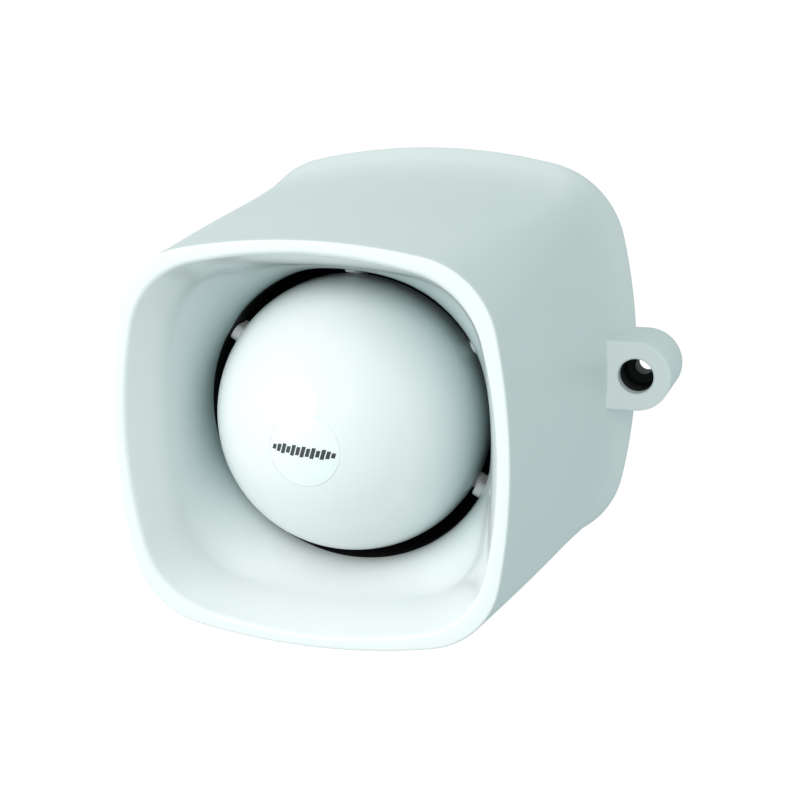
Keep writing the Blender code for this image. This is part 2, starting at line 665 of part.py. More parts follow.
def make_lead(name, side, material):
    """One lead from the driver's terminal strip to the board, on a smooth curve."""
    start = Vector((side * 3.5, SPACER_Y + 2.0, 24.6))
    pull_out = Vector((side * 4.5, SPACER_Y + 3.0, 34.5))
    pull_in = Vector((side * 4.5, PART_Y - 13.0, 33.0))
    end = Vector((side * 3.5, PART_Y - 0.2, 32.0))
    curve = bpy.data.curves.new(name, "CURVE")
    curve.dimensions = "3D"
    curve.bevel_depth = 0.75 * MM
    curve.bevel_resolution = 2
    curve.use_fill_caps = True
    count = 15
    spline = curve.splines.new("POLY")
    spline.points.add(count - 1)
    for index, point in enumerate(spline.points):
        t = index / (count - 1)
        place = (start * (1 - t) ** 3 + pull_out * 3 * t * (1 - t) ** 2
                 + pull_in * 3 * t ** 2 * (1 - t) + end * t ** 3) * MM
        point.co = (*place, 1.0)
    curve.materials.append(material)
    lead = bpy.data.objects.new(name, curve)
    bpy.context.scene.collection.objects.link(lead)


def build():
    clear_scene()
    white = make_material("white_abs", (0.80, 0.83, 0.83), 0.22)
    materials = {
        "black_plastic": make_material("black_plastic", (0.02, 0.02, 0.022), 0.45),
        "rubber": make_material("black_rubber", (0.015, 0.015, 0.015), 0.8),
        "steel": make_material("plated_steel", (0.62, 0.62, 0.60), 0.3, 1.0),
        "ferrite": make_material("ferrite", (0.05, 0.05, 0.055), 0.6),
        "diaphragm": make_material("phenolic_film", (0.45, 0.25, 0.08), 0.35),
        "copper": make_material("copper_winding", (0.75, 0.33, 0.15), 0.3, 1.0),
        "board": make_material("green_board", (0.02, 0.16, 0.06), 0.4),
        "capacitor": make_material("capacitor_sleeve", (0.02, 0.03, 0.10), 0.35),
        "aluminium": make_material("aluminium", (0.75, 0.75, 0.76), 0.35, 1.0),
        "terminal": make_material("green_terminal", (0.02, 0.28, 0.12), 0.4),
    }
    make_housing(white)
    make_rear_cover(white)
    make_rear_seal(materials["rubber"])
    make_grommet(materials["rubber"])
    make_cover_screws(materials["steel"])
    make_dome(white)
    make_badge(make_material("badge_white", (0.84, 0.86, 0.86), 0.3))
    make_dome_support(white)
    make_tone_tube(materials["black_plastic"])
    make_driver(materials)
    make_phase_plug(materials["black_plastic"])
    make_moving_parts(materials)
    make_circuit(materials)
    make_terminal_strip(materials["terminal"])
    make_lead("coil_lead_red", 1, make_material("red_sleeve", (0.55, 0.02, 0.02), 0.4))
    make_lead("coil_lead_black", -1, make_material("black_sleeve", (0.02, 0.02, 0.02), 0.4))


build()
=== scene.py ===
"""Looks of the wall-mounted alarm siren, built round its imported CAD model.

Sizes are in millimetres and turn into metres where a mesh is made. The origin is the middle of
the back face, the horn opens towards -Y, +Z is up and the sound axis is the Y axis.
"""
from math import atan2, cos, pi, radians, sin, sqrt

import bmesh
import bpy
from mathutils import Matrix, Vector


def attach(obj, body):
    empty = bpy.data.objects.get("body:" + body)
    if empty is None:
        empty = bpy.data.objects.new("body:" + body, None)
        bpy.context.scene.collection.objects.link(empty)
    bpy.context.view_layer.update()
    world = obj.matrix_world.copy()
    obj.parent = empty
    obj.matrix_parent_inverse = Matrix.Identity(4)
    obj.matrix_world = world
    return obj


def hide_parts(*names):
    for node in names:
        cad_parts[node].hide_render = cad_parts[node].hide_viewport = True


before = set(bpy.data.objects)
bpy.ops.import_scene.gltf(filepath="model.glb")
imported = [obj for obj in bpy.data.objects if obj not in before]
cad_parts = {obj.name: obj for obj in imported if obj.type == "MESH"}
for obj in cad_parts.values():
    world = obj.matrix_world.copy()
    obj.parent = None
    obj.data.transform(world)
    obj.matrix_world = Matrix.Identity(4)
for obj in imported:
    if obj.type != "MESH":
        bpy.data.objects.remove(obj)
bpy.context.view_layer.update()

MM = 0.001
STILL = "siren_body"
SMOOTH_ANGLE = 32.0            # edges sharper than this stay sharp
PAST = 1.0                     # how far a cutting shape runs past the face that it cuts

# Outer skin: (share of the depth from the lip, half width, corner radius)
DEPTH = 100.0
BODY = (
    (0.00, 48.0, 20.7), (0.30, 49.4, 15.8), (0.60, 50.6, 10.6), (0.80, 51.8, 9.6),
    (0.90, 53.3, 14.4), (0.96, 55.0, 20.2), (1.00, 56.3, 25.4),
)
BODY_STEPS = 60
BASE_ROUND = 0.5
WALL = 2.6
LIP = 2.8
LIP_ROUND_OUT = 0.55
LIP_ROUND_IN = 0.8
SIDE_BOW = 152.0
MOUTH_BOW = 113.0

# Cavity behind the flare
CAVITY_SHARES = (0.91, 0.8, 0.6, 0.3, 0.1)
CAVITY_FRONT = (-93.0, 45.2, 17.5)      # depth, half width and corner of its front end

# Flare, throat and the bowl behind the dome
FLARE_END_HALF = 38.0
FLARE_END_CORNER = 17.0
FLARE_CORNER = 20.6
FLARE_CORNER_POWER = 1.2
FLARE_POWER = 2.3              # how soon the flare's sides steepen behind the lip
FLARE_ROUND_FROM = 0.42        # share of the flare's depth where it starts to turn round
FLARE_BACK_SHARES = (0.31, 0.45, 0.6, 0.72, 0.84, 0.92)
FLARE_BACK_STEP = 1.6          # the flare's back lies this much deeper than its front
THROAT_RADIUS = 36.8
THROAT_Y = -69.0
BOWL_WALL = 2.4
BOWL_FLOOR_Y = -52.0
SEAT_Y = -47.0
SEAT_RADIUS = 33.0
THROAT_HOLE = 9.0
# (y, radius) round the bowl's section, from the flare's back to the throat; its inside is painted
# black as shade
BOWL = (
    (THROAT_Y + 3.2, THROAT_RADIUS + BOWL_WALL), (-58.0, THROAT_RADIUS + BOWL_WALL),
    (-52.6, 37.2), (-49.6, SEAT_RADIUS + 1.0), (SEAT_Y, SEAT_RADIUS), (SEAT_Y, THROAT_HOLE),
    (BOWL_FLOOR_Y, THROAT_HOLE), (BOWL_FLOOR_Y, 29.0), (-53.6, 33.6), (-57.4, 36.2),
    (-60.0, THROAT_RADIUS),
)
OUTLINE_STEPS = 288
ROUND_STEPS = 96
FLARE_STEPS = 72

# Ears
EAR_X = 59.3
EAR_RADIUS = 9.2
EAR_THICK = 18.1
EAR_ROUND = 0.45
EAR_ROOT = 51.0                # where the lug's shape starts inside the wall, at its front
EAR_ROOT_RISE = 3.3            # how much further out it starts at its back
EAR_STEPS = 48
EAR_BORE = 4.66
EAR_BEVEL = 0.4
EAR_BORE_FLOOR_Y = -6.0
EAR_HOLE = 2.4
EAR_HOLE_BEVEL = 0.3
EAR_SHADE_FROM_Y = -14.8             # the bore is painted black as shade from here back

# Back cover and its screws; the turned shapes are (radius, y)
RECESS_HALF = 53.0
RECESS_CORNER = 23.0
RECESS_BEVEL = 0.3
COVER_THICK = 3.0
COVER_EDGE = 0.4
COVER_SUNK = 0.02
LEDGE_Y = -4.5
LEDGE_HALF = 51.6
LEDGE_CORNER = 21.6
BOSS_AT = 39.5
BOSS_RADIUS = 4.2
BOSS_LENGTH = 21.0
PILOT_RADIUS = 1.8
PILOT_END_Y = -16.0
SCREW_SINK = ((0.0, PAST), (4.7, PAST), (3.6, -0.1), (2.1, -1.8), (2.1, -4.0), (0.0, -4.0))
SCREW_HEAD = ((0.0, -0.2), (2.9, -0.2), (3.1, -0.35), (3.1, -0.6), (1.5, -2.3))
SCREW_TIP = ((0.6, -14.0), (0.0, -14.0))
THREAD = ((1.15, 0.25), (1.5, 0.5), (1.15, 0.75))       # radius, and how far down one turn
THREAD_PITCH = 0.9
THREAD_START_Y = -2.6
THREAD_END_Y = -12.6
CROSS_BAR = (3.6, 2.4, 0.7)
CROSS_TAPER = 0.35
CROSS_Y = -0.6
INLET_Z = -43.5
INLET_RADIUS = 5.0
INLET = (
    (0.0, PAST), (INLET_RADIUS + 0.5, PAST), (INLET_RADIUS, -0.5), (INLET_RADIUS, -4.0),
    (0.0, -4.0),
)
GROMMET_RADIUS = INLET_RADIUS - 0.1
GROMMET = (
    (3.0, -5.2), (3.3, -5.6), (6.4, -5.6), (6.7, -5.2), (6.7, -3.4), (GROMMET_RADIUS, -3.2),
    (GROMMET_RADIUS, -0.5), (GROMMET_RADIUS - 0.3, -0.15), (3.5, -0.1), (3.0, -0.6),
)
GAP = 0.3

# Dome and badge
DOME_RADIUS = 33.8
DOME_RIM_Y = -63.8
DOME_EDGE = 0.25
DOME_CURVE_Y = -66.6
DOME_POLE_Y = -101.24          # leaves room in the CAD model's box for the raised mark
DOME_WALL = 2.0
DOME_POWER = 1.84
BADGE_RADIUS = 8.5
BADGE_THICK = 0.7
BADGE_SEAM = 0.04
BADGE_EDGE = 0.03
BADGE_BACK = 0.5
MARK_HEIGHTS = (1.2, 1.8, 2.4, 1.6, 2.6, 2.0, 2.6, 2.0, 2.6, 1.6, 2.4, 1.8, 1.2)
MARK_PITCH = 1.19
MARK_WIDTH = 0.9
MARK_SLANT = 0.22
MARK_RAISED = 0.05
MARK_SUNK = 0.02
MARK_LEVELS = 4
MARK_TURN = 5.0                # degrees about the sound axis

# Dome support
LUG_ANGLES = (30, 90, 150, 210, 330)
LUG_WIDTH = 4.0
LUG_ROUND = 0.4
LUG_STEP = 0.05
LUG_STEPS = 16
LUG_FRONT_Y = -67.0
ARM_FRONT_Y = -63.3
LUG_BACK_Y = -60.2
LUG_HEAD_INNER = 34.4
LUG_OUTER = THROAT_RADIUS - 0.3
RING_INNER = 28.6
RING_OUTER = 32.6
RING_FRONT_Y = -63.3
RING_LIP_Y = -69.0
RING_BACK_Y = -60.5

# Moulded skin: noise scales per metre, and depth in metres
CLOUD_SCALE = 24.0
GLOSS_SCALE = 160.0
GRAIN_SCALE = 2600.0
GRAIN_DEPTH = 0.000004
GRAIN_STRENGTH = 0.6
LINE_DEPTH = 0.000006          # machining lines on metal
PAINTED_SHADE_LEAST = 0.08            # share of the painted shade left on the lit side of a finish with painted shade

# Camera: angles in degrees; shifts and distance from the lip's middle
CAMERA_AZIMUTH = 19.11
CAMERA_ELEVATION = 15.25
CAMERA_ROLL = -1.47
CAMERA_DISTANCE = 384.0
CAMERA_LENS = 76.525
CAMERA_SENSOR = 36.0
CAMERA_RIGHT = 21.54
CAMERA_UP = 11.4

# Studio: places and widths of the lights in metres
FILL = (0.505, 0.612, 0.61)
BACKDROP = 1.05
FLOOR_Z = -230.0
FLOOR_HALF = 3000.0
LIGHT_AIM = (0.0, -0.08, 0.0)
LIGHT_COLOUR = (1.0, 0.985, 0.98)
LIGHTS = (                     # name, place, width, watts, whether it shows in reflections
    ("key", (-0.62, -0.98, 0.36), 0.8, 7.8, True),
    ("front", (0.3, -1.2, 0.6), 0.5, 4.2, False),
)


# ---- materials -----------------------------------------------------------------------------

class Shader:
    """A Principled material and the few node chains that the finishes below share."""

    def __init__(self, name, roughness=0.3, metallic=0.0, specular=0.5):
        self.material = bpy.data.materials.new(name)
        self.material.use_nodes = True
        self.tree = self.material.node_tree
        self.main = self.tree.nodes["Principled BSDF"]
        self.main.inputs["Roughness"].default_value = roughness
        self.main.inputs["Metallic"].default_value = metallic
        self.main.inputs["Specular IOR Level"].default_value = specular
        self.place = self.node("ShaderNodeTexCoord").outputs["Object"]

    def node(self, kind, **values):
        """A new node; each value goes to the socket of that name, or else the property."""
        made = self.tree.nodes.new(kind)
        for key, value in values.items():
            if key in made.inputs:
                made.inputs[key].default_value = value
            else:
                setattr(made, key, value)
        return made

    def join(self, source, target):
        """Links one socket to another."""
        self.tree.links.new(source, target)

    def stretched(self, scale):
        """Object coordinates scaled by a different amount along each axis."""
        mapping = self.node("ShaderNodeMapping")
        mapping.inputs["Scale"].default_value = scale
        self.join(self.place, mapping.inputs["Vector"])
        return mapping.outputs["Vector"]

    def noise(self, scale, detail=3.0, rough=0.5, place=None):
        """A noise texture, on object coordinates unless it is given others."""
        texture = self.node("ShaderNodeTexNoise", Scale=scale, Detail=detail, Roughness=rough)
        self.join(place or self.place, texture.inputs["Vector"])
        return texture.outputs["Fac"]

    def span(self, source, low, high, start=0.3, end=0.7):
        """The source's start to end, spread over low to high."""
        spread = self.node("ShaderNodeMapRange")
        ends = (("From Min", start), ("From Max", end), ("To Min", low), ("To Max", high))
        for key, value in ends:
            spread.inputs[key].default_value = value
        self.join(source, spread.inputs["Value"])
        return spread.outputs["Result"]

    def mix(self, share, first, second):
        """Two colours mixed by a share; each is a colour or a socket."""
        made = self.node("ShaderNodeMix", data_type="RGBA")
        self.join(share, made.inputs[0])
        for socket, value in ((made.inputs[6], first), (made.inputs[7], second)):
            if isinstance(value, tuple):
                socket.default_value = (*value, 1.0)
            else:
                self.join(value, socket)
        return made.outputs[2]

    def colour(self, socket):
        """Takes the base colour from a socket."""
        self.join(socket, self.main.inputs["Base Color"])

    def rough(self, socket):
        """Takes the roughness from a socket."""
        self.join(socket, self.main.inputs["Roughness"])

    def bump(self, height, distance, strength=1.0):
        """Raises the surface by a height socket, over a distance in metres."""
        made = self.node("ShaderNodeBump", Strength=strength, Distance=distance)
        self.join(height, made.inputs["Height"])
        self.join(made.outputs["Normal"], self.main.inputs["Normal"])

    def moulded_skin(self, rough_low, rough_high):
        """The uneven gloss and fine grain that moulded plastic has."""
        self.rough(self.span(self.noise(GLOSS_SCALE, 3.0), rough_low, rough_high))
        self.bump(self.noise(GRAIN_SCALE, 2.0), GRAIN_DEPTH, GRAIN_STRENGTH)


def moulded(name, light, dark, rough_low, rough_high):
    """Moulded plastic: faint clouds of colour under its skin."""
    shader = Shader(name)
    clouds = shader.span(shader.noise(CLOUD_SCALE, 4.0), 0.0, 1.0)
    shader.colour(shader.mix(clouds, light, dark))
    shader.moulded_skin(rough_low, rough_high)
    return shader.material


def painted_shade_finish(name, light, shade_colour, depths, axis, sides, rough_low, rough_high):
    """Moulded plastic with painted shade: darker from one depth to another, mostly on one side."""
    shader = Shader(name)
    split = shader.node("ShaderNodeSeparateXYZ")
    shader.join(shader.place, split.inputs[0])
    depth = shader.span(split.outputs["Y"], 0.0, 1.0, *depths)
    side = shader.span(split.outputs[axis], PAINTED_SHADE_LEAST, 1.0, *sides)
    share = shader.node("ShaderNodeMath", operation="MULTIPLY")
    shader.join(depth, share.inputs[0])
    shader.join(side, share.inputs[1])
    shader.colour(shader.mix(share.outputs[0], light, shade_colour))
    shader.moulded_skin(rough_low, rough_high)
    return shader.material


def textured(name, light, dark, rough_low, rough_high, grain, depth):
    """Plastic or rubber with an eroded, matt skin."""
    shader = Shader(name)
    shader.colour(shader.mix(shader.span(shader.noise(grain, 4.0), 0.0, 1.0), light, dark))
    shader.rough(shader.span(shader.noise(grain * 0.3, 3.0), rough_low, rough_high))
    shader.bump(shader.noise(grain, 5.0, 0.65), depth)
    return shader.material


def metal(name, light, dark, rough_low, rough_high, stretch=(1.0, 30.0, 1.0)):
    """Metal with fine machining lines and slightly uneven brightness."""
    shader = Shader(name, metallic=1.0)
    lines = shader.noise(300.0, 4.0, 0.6, shader.stretched(stretch))
    shader.colour(shader.mix(shader.span(shader.noise(90.0), 0.0, 1.0), light, dark))
    shader.rough(shader.span(lines, rough_low, rough_high))
    shader.bump(lines, LINE_DEPTH)
    return shader.material


def copper_winding():
    """Fine copper wire wound round the axis."""
    shader = Shader("copper_winding", metallic=1.0)
    wave = shader.node("ShaderNodeTexWave", Scale=420.0, Distortion=0.0)
    wave.bands_direction = "Y"
    shader.join(shader.place, wave.inputs["Vector"])
    shader.colour(shader.mix(wave.outputs["Fac"], (0.36, 0.12, 0.04), (0.86, 0.42, 0.20)))
    shader.rough(shader.span(shader.noise(400.0), 0.24, 0.4))
    shader.bump(wave.outputs["Fac"], 0.00006)
    return shader.material


def woven_film():
    """Resin-bonded cloth of the diaphragm."""
    shader = Shader("phenolic_film")
    across = []
    for direction in ("X", "Z"):
        wave = shader.node("ShaderNodeTexWave", Scale=260.0, Distortion=0.4)
        wave.bands_direction = direction
        shader.join(shader.place, wave.inputs["Vector"])
        across.append(wave.outputs["Fac"])
    weave = shader.node("ShaderNodeMath", operation="MULTIPLY")
    shader.join(across[0], weave.inputs[0])
    shader.join(across[1], weave.inputs[1])
    shader.colour(shader.mix(weave.outputs[0], (0.26, 0.12, 0.03), (0.55, 0.32, 0.11)))
    shader.rough(shader.span(shader.noise(200.0), 0.3, 0.45))
    shader.bump(weave.outputs[0], 0.00005)
    return shader.material


def green_board():
    """Circuit board: solder mask that stands up where it covers the copper tracks."""
    shader = Shader("green_board")
    tracks = shader.node("ShaderNodeTexBrick", Scale=210.0)
    tracks.inputs["Mortar Size"].default_value = 0.02
    swap = shader.node("ShaderNodeSeparateXYZ")
    shader.join(shader.place, swap.inputs[0])
    flat = shader.node("ShaderNodeCombineXYZ")
    shader.join(swap.outputs["X"], flat.inputs["X"])
    shader.join(swap.outputs["Z"], flat.inputs["Y"])
    shader.join(flat.outputs[0], tracks.inputs["Vector"])
    shader.colour(shader.mix(tracks.outputs["Fac"], (0.012, 0.13, 0.045), (0.03, 0.24, 0.09)))
    shader.rough(shader.span(shader.noise(500.0), 0.26, 0.4))
    shader.bump(tracks.outputs["Fac"], 0.00003)
    return shader.material


def ringed(name, base, band, scale, rough_low, rough_high):
    """A shrunk sleeve with a band along it."""
    shader = Shader(name)
    wave = shader.node("ShaderNodeTexWave", Scale=scale, Distortion=0.0)
    wave.bands_direction = "X"
    shader.join(shader.place, wave.inputs["Vector"])
    shader.colour(shader.mix(shader.span(wave.outputs["Fac"], 0.0, 1.0, 0.86, 0.9), base, band))
    shader.rough(shader.span(shader.noise(300.0), rough_low, rough_high))
    shader.bump(shader.noise(900.0), 0.00001)
    return shader.material


def make_materials():
    """Every finish by name, each used by a new piece or by a CAD node."""
    white, white_shade = (0.815, 0.84, 0.838), (0.802, 0.828, 0.826)
    steel, steel_shade = (0.66, 0.66, 0.64), (0.52, 0.52, 0.50)
    black, black_shade = (0.012, 0.012, 0.013), (0.022, 0.022, 0.024)
    return {
        "white_abs": moulded("white_abs", white, white_shade, 0.44, 0.5),
        # Painted shade: the dome's colour darkens towards its rim and its +X side.
        "dome_abs_painted_shade": painted_shade_finish(
            "dome_abs_painted_shade", white, (0.42, 0.51, 0.51), (-0.092, -0.068), "X", (-0.002, 0.026),
            0.17, 0.22),
        # Painted shade: the flare's colour darkens towards the throat, less towards the bottom.
        "flare_abs_painted_shade": painted_shade_finish(
            "flare_abs_painted_shade", white, (0.43, 0.55, 0.55), (-0.092, -0.07), "Z", (-0.036, -0.012),
            0.1, 0.14),
        "cover_abs": textured("cover_abs", white, white_shade, 0.42, 0.55, 1500.0, 0.00003),
        "badge": moulded("badge_white", (0.84, 0.88, 0.88), (0.82, 0.87, 0.87), 0.2, 0.28),
        "ink": moulded("badge_ink", (0.035, 0.04, 0.045), (0.07, 0.075, 0.08), 0.4, 0.5),
        # Painted shade: near-black for the bowl behind the throat and the back of the ear bores.
        "painted_shade_black": moulded("painted_shade_black", (0.004, 0.004, 0.004), (0.007, 0.007, 0.007), 0.5, 0.6),
        "black_plastic": textured("black_plastic", black, black_shade, 0.4, 0.52, 1800.0, 0.00002),
        "rubber": textured("black_rubber", black, (0.03, 0.03, 0.03), 0.7, 0.85, 1200.0, 0.00003),
        "steel": metal("plated_steel", steel, steel_shade, 0.22, 0.36),
        "screw": metal("zinc_screw", (0.72, 0.70, 0.62), (0.58, 0.57, 0.52), 0.2, 0.36, (1, 1, 1)),
        "ferrite": textured(
            "ferrite", (0.035, 0.035, 0.04), (0.075, 0.075, 0.08), 0.5, 0.68, 2400.0, 0.00004),
        "diaphragm": woven_film(),
        "copper": copper_winding(),
        "board": green_board(),
        "capacitor": ringed(
            "capacitor_sleeve", (0.015, 0.02, 0.08), (0.45, 0.47, 0.5), 18.0, 0.26, 0.36),
        "aluminium": metal(
            "aluminium", (0.78, 0.78, 0.79), (0.66, 0.66, 0.68), 0.26, 0.42, (1, 1, 20)),
        "terminal": moulded("green_terminal", (0.02, 0.30, 0.13), (0.015, 0.22, 0.10), 0.34, 0.44),
        "red_sleeve": moulded("red_sleeve", (0.50, 0.015, 0.015), (0.36, 0.01, 0.01), 0.34, 0.46),
        "black_sleeve": moulded("black_sleeve", black, black_shade, 0.34, 0.46),
    }


def paint_frame(materials):
    """Gives each CAD node a finish picked by the start of its name."""
    named = {"driver_screw": "screw", "board_screw": "screw", "transistor": "black_plastic",
             "siren_chip": "black_plastic", "terminal_strip": "terminal",
             "terminal_block": "terminal", "driver_gasket": "rubber", "rear_seal": "rubber",
             "diaphragm_surround": "rubber", "ring_magnet": "ferrite", "top_plate": "steel",
             "magnet_yoke": "steel", "heat_sink": "aluminium", "capacitor": "capacitor",
             "circuit_board": "board", "voice_coil": "copper", "coil_lead_red": "red_sleeve",
             "coil_lead_black": "black_sleeve"}
    for node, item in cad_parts.items():
        found = [finish for start, finish in named.items() if node.startswith(start)]
        finish = found[0] if found else "black_plastic"
        if node == "diaphragm":
            finish = "diaphragm"
        for slot in item.material_slots:
            slot.material = materials[finish]


# ---- outlines and solids -------------------------------------------------------------------

def eased(table, share):
    """Half width and corner at a share of the depth, on a smooth curve through the table."""
    places = [row[0] for row in table]
    found = []
    for column in (1, 2):
        values = [row[column] for row in table]
        steps = [b - a for a, b in zip(places, places[1:])]
        slopes = [(b - a) / step for a, b, step in zip(values, values[1:], steps)]
        tangents = [slopes[0]]
        for before, after in zip(slopes, slopes[1:]):
            tangents.append(0.0 if before * after <= 0 else 2 * before * after / (before + after))
        tangents.append(slopes[-1])
        index = max(i for i in range(len(steps)) if share >= places[i] or i == 0)
        t = (share - places[index]) / steps[index]
        start, end = values[index], values[index + 1]
        pull, push = tangents[index] * steps[index], tangents[index + 1] * steps[index]
        found.append(start * (2 * t ** 3 - 3 * t ** 2 + 1) + pull * (t ** 3 - 2 * t ** 2 + t)
                     + end * (3 * t ** 2 - 2 * t ** 3) + push * (t ** 3 - t ** 2))
    return found


def square_radius(angle, half, bow, corner):
    """Distance from the axis to a square outline with bowed sides and round corners."""
    side_centre = half - bow
    reach = bow - corner
    corner_centre = (side_centre + sqrt(2 * reach ** 2 - side_centre ** 2)) / 2
    side_end = atan2(corner_centre, corner_centre - side_centre)
    join = atan2(bow * sin(side_end), side_centre + bow * cos(side_end))
    turn = abs((angle + pi / 4) % (pi / 2) - pi / 4)
    if turn <= join:
        return side_centre * cos(turn) + sqrt(bow ** 2 - (side_centre * sin(turn)) ** 2)
    along = corner_centre * (cos(turn) + sin(turn))
    return along + sqrt(along ** 2 - 2 * corner_centre ** 2 + corner ** 2)


def square_ring(y, half, corner, bow=SIDE_BOW, inset=0.0, steps=OUTLINE_STEPS):
    """Points of the bowed square at depth y, moved in by inset all round."""
    points = []
    for step in range(steps):
        angle = 2 * pi * step / steps
        radius = square_radius(angle, half - inset, bow - inset, corner - inset)
        points.append(Vector((radius * cos(angle), y, radius * sin(angle))))
    return points


def round_ring(y, radius, steps=OUTLINE_STEPS, centre=(0.0, 0.0)):
    """Points of a circle at depth y, round a centre given as (x, z)."""
    points = []
    for step in range(steps):
        angle = 2 * pi * step / steps
        x, z = centre[0] + radius * cos(angle), centre[1] + radius * sin(angle)
        points.append(Vector((x, y, z)))
    return points


def quarter(count=6):
    """(cosine, sine) pairs over a quarter turn, for rounded edges."""
    return [(cos(pi / 2 * i / count), sin(pi / 2 * i / count)) for i in range(count + 1)]


def skin(rings, closed):
    """Joins rings of equal length with quads; an open skin gets a cap on each end."""
    builder = bmesh.new()
    rows = [[builder.verts.new(point) for point in ring] for ring in rings]
    count = len(rows[0])
    last = len(rows) if closed else len(rows) - 1
    for index in range(last):
        row, after = rows[index], rows[(index + 1) % len(rows)]
        for step in range(count):
            following = (step + 1) % count
            builder.faces.new((row[step], row[following], after[following], after[step]))
    if not closed:
        builder.faces.new(rows[0])
        builder.faces.new(list(reversed(rows[-1])))
    return builder


def make_piece(name, builder, *materials, smooth_angle=SMOOTH_ANGLE):
    """Links a piece whose mesh comes from a bmesh in millimetres."""
    bmesh.ops.scale(builder, vec=(MM, MM, MM), verts=builder.verts)
    bmesh.ops.recalc_face_normals(builder, faces=builder.faces)
    mesh = bpy.data.meshes.new(name)
    builder.to_mesh(mesh)
    builder.free()
    mesh.shade_smooth()
    mesh.set_sharp_from_angle(angle=radians(smooth_angle))
    for material in materials:
        mesh.materials.append(material)
    item = bpy.data.objects.new(name, mesh)
    bpy.context.scene.collection.objects.link(item)
    return item


def turned_mesh(profile, steps=ROUND_STEPS, centre=(0.0, 0.0)):
    """Mesh turned about an axis along Y from (radius, y) points; radius 0 closes an end."""
    on_axis = profile[0][0] == 0.0
    inner = profile[1:-1] if on_axis else profile
    builder = skin([round_ring(y, radius, steps, centre) for radius, y in inner], not on_axis)
    if on_axis:
        builder.faces.ensure_lookup_table()
        caps = (builder.faces[-2], builder.faces[-1])
        for cap, (_, y) in zip(caps, (profile[0], profile[-1])):
            tip = bmesh.ops.poke(builder, faces=[cap])["verts"][0]
            tip.co = Vector((centre[0], y, centre[1]))
    return builder


def turned(name, profile, material, steps=ROUND_STEPS, centre=(0.0, 0.0)):
    """A piece turned from (radius, y) points."""
    return make_piece(name, turned_mesh(profile, steps, centre), material)


def corners(distance):
    """The (x, z) places of four things set square round the axis."""
    return [(distance * a, distance * b) for a, b in ((1, 1), (-1, 1), (-1, -1), (1, -1))]


def carve(target, steps):
    """Applies (operation, tool) pairs in order, then removes the tools."""
    for operation, tool in steps:
        modifier = target.modifiers.new(tool.name, "BOOLEAN")
        modifier.operation = operation
        modifier.solver = "EXACT"
        modifier.object = tool
    graph = bpy.context.evaluated_depsgraph_get()
    mesh = bpy.data.meshes.new_from_object(target.evaluated_get(graph))
    target.modifiers.clear()
    target.data = mesh
    mesh.shade_smooth()
    mesh.set_sharp_from_angle(angle=radians(SMOOTH_ANGLE))
    for _, tool in steps:
        bpy.data.objects.remove(tool, do_unlink=True)
    return target


# ---- housing -------------------------------------------------------------------------------

def outer_ring(y, inset=0.0):
    """Points of the outer skin at depth y, moved in by inset all round."""
    half, corner = eased(BODY, 1.0 + y / DEPTH)
    return square_ring(y, half, corner, SIDE_BOW, inset)


def flare_outline(y, angle):
    """Distance from the axis to the flare: the rounded square turns into the round throat."""
    share = (y + DEPTH) / (THROAT_Y + DEPTH)
    left = max(1.0 - share, 0.0)
    half = FLARE_END_HALF + (BODY[0][1] - LIP - FLARE_END_HALF) * left ** FLARE_POWER
    corner = FLARE_END_CORNER + (FLARE_CORNER - FLARE_END_CORNER) * left ** FLARE_CORNER_POWER
    bow = MOUTH_BOW + (SIDE_BOW - MOUTH_BOW) * share
    turn = max(share - FLARE_ROUND_FROM, 0.0) / (1.0 - FLARE_ROUND_FROM)
    roundness = turn * turn * (3 - 2 * turn)
    radius = square_radius(angle, half, bow, corner)
    return radius + (THROAT_RADIUS - radius) * roundness


def flare_ring(y, outset=0.0, deeper=0.0):
    """Points of the flare at depth y, moved out by outset and back by deeper."""
    ring = []
    for step in range(OUTLINE_STEPS):
        angle = 2 * pi * step / OUTLINE_STEPS
        radius = flare_outline(y, angle) + outset
        ring.append(Vector((radius * cos(angle), y + deeper, radius * sin(angle))))
    return ring


def flare_y(share):
    """Depth at a share of the way from the lip to the throat."""
    return -DEPTH + (THROAT_Y + DEPTH) * share


def housing_rings():
    """The housing's section, taken once round: skin, base, cavity, bowl, throat, flare, lip."""
    rings = []
    for c, s in quarter():
        rings.append(outer_ring(-DEPTH + LIP_ROUND_OUT * (1 - c), LIP_ROUND_OUT * (1 - s)))
    length = DEPTH - LIP_ROUND_OUT - BASE_ROUND
    for step in range(1, BODY_STEPS):
        rings.append(outer_ring(-DEPTH + LIP_ROUND_OUT + length * step / BODY_STEPS))
    for c, s in quarter(4):
        rings.append(outer_ring(-BASE_ROUND + BASE_ROUND * s, BASE_ROUND * (1 - c)))
    rings.append(square_ring(0.0, RECESS_HALF, RECESS_CORNER, inset=-RECESS_BEVEL))
    rings.append(square_ring(-RECESS_BEVEL, RECESS_HALF, RECESS_CORNER))
    rings.append(square_ring(LEDGE_Y, RECESS_HALF, RECESS_CORNER))
    rings.append(square_ring(LEDGE_Y, LEDGE_HALF, LEDGE_CORNER))
    for share in CAVITY_SHARES:
        rings.append(outer_ring(-DEPTH * (1 - share), WALL))
    rings.append(square_ring(*CAVITY_FRONT))
    for share in FLARE_BACK_SHARES:
        rings.append(flare_ring(flare_y(share), BOWL_WALL, FLARE_BACK_STEP))
    rings += [round_ring(y, radius) for y, radius in BOWL]
    lip_end = -DEPTH + LIP_ROUND_IN
    for step in range(FLARE_STEPS, 0, -1):
        rings.append(flare_ring(lip_end + (THROAT_Y - lip_end) * step / FLARE_STEPS))
    for c, s in quarter():
        rings.append(flare_ring(-DEPTH + LIP_ROUND_IN * (1 - s), LIP_ROUND_IN * (1 - c)))
    return rings


